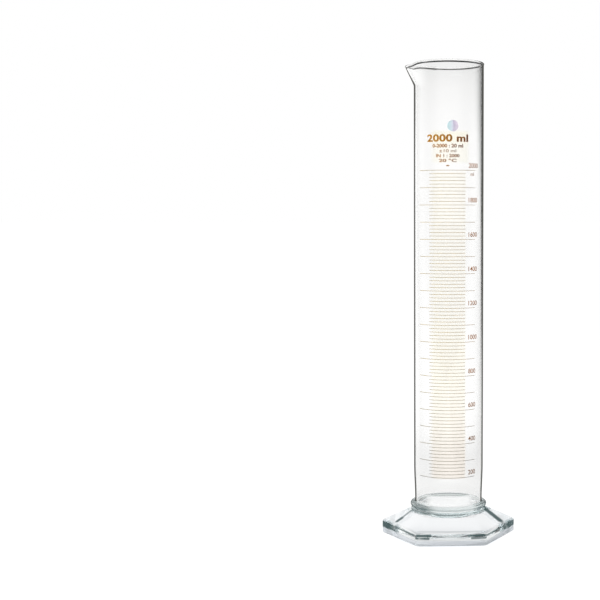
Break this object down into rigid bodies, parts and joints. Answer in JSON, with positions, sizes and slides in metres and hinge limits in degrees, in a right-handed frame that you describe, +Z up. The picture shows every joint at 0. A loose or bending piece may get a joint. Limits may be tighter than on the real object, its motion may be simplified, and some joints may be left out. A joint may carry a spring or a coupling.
{
  "type": "graduated measuring cylinder",
  "caption": "Tall clear glass measuring cylinder with a pouring spout, a fired brown volume scale and a fused six-sided glass foot.",
  "frame": {"origin": "centre of the foot's underside, on the bench", "axes": "+Z up along the tube; -Y faces the scale and a flat of the foot; -X points to the pouring spout and a corner of the foot"},
  "size_m": [0.161, 0.1416, 0.5694],
  "materials": {
    "tube_glass": "clear drawn borosilicate glass, polished",
    "collar_glass": "clear flame-worked glass, faint grey-green in the thick bead",
    "foot_glass": "clear pressed glass, faint grey-blue, slightly wavy",
    "scale_print": "fired stain, amber to dark red-brown, thin and matt",
    "spot_print": "pale lilac-blue round spot with a slight sheen"
  },
  "bodies": {
    "root": {"glass_tube": "tube_glass", "weld_collar": "collar_glass", "hexagonal_foot": "foot_glass", "graduation_0200": "scale_print", "graduation_0300": "scale_print", "graduation_0400": "scale_print", "graduation_0500": "scale_print", "graduation_0600": "scale_print", "graduation_0700": "scale_print", "graduation_0800": "scale_print", "graduation_0900": "scale_print", "graduation_1000": "scale_print", "graduation_1100": "scale_print", "graduation_1200": "scale_print", "graduation_1300": "scale_print", "graduation_1400": "scale_print", "graduation_1500": "scale_print", "graduation_1600": "scale_print", "graduation_1700": "scale_print", "graduation_1800": "scale_print", "graduation_1900": "scale_print", "graduation_2000": "scale_print", "round_mark": "spot_print"}
  },
  "joints": []
}
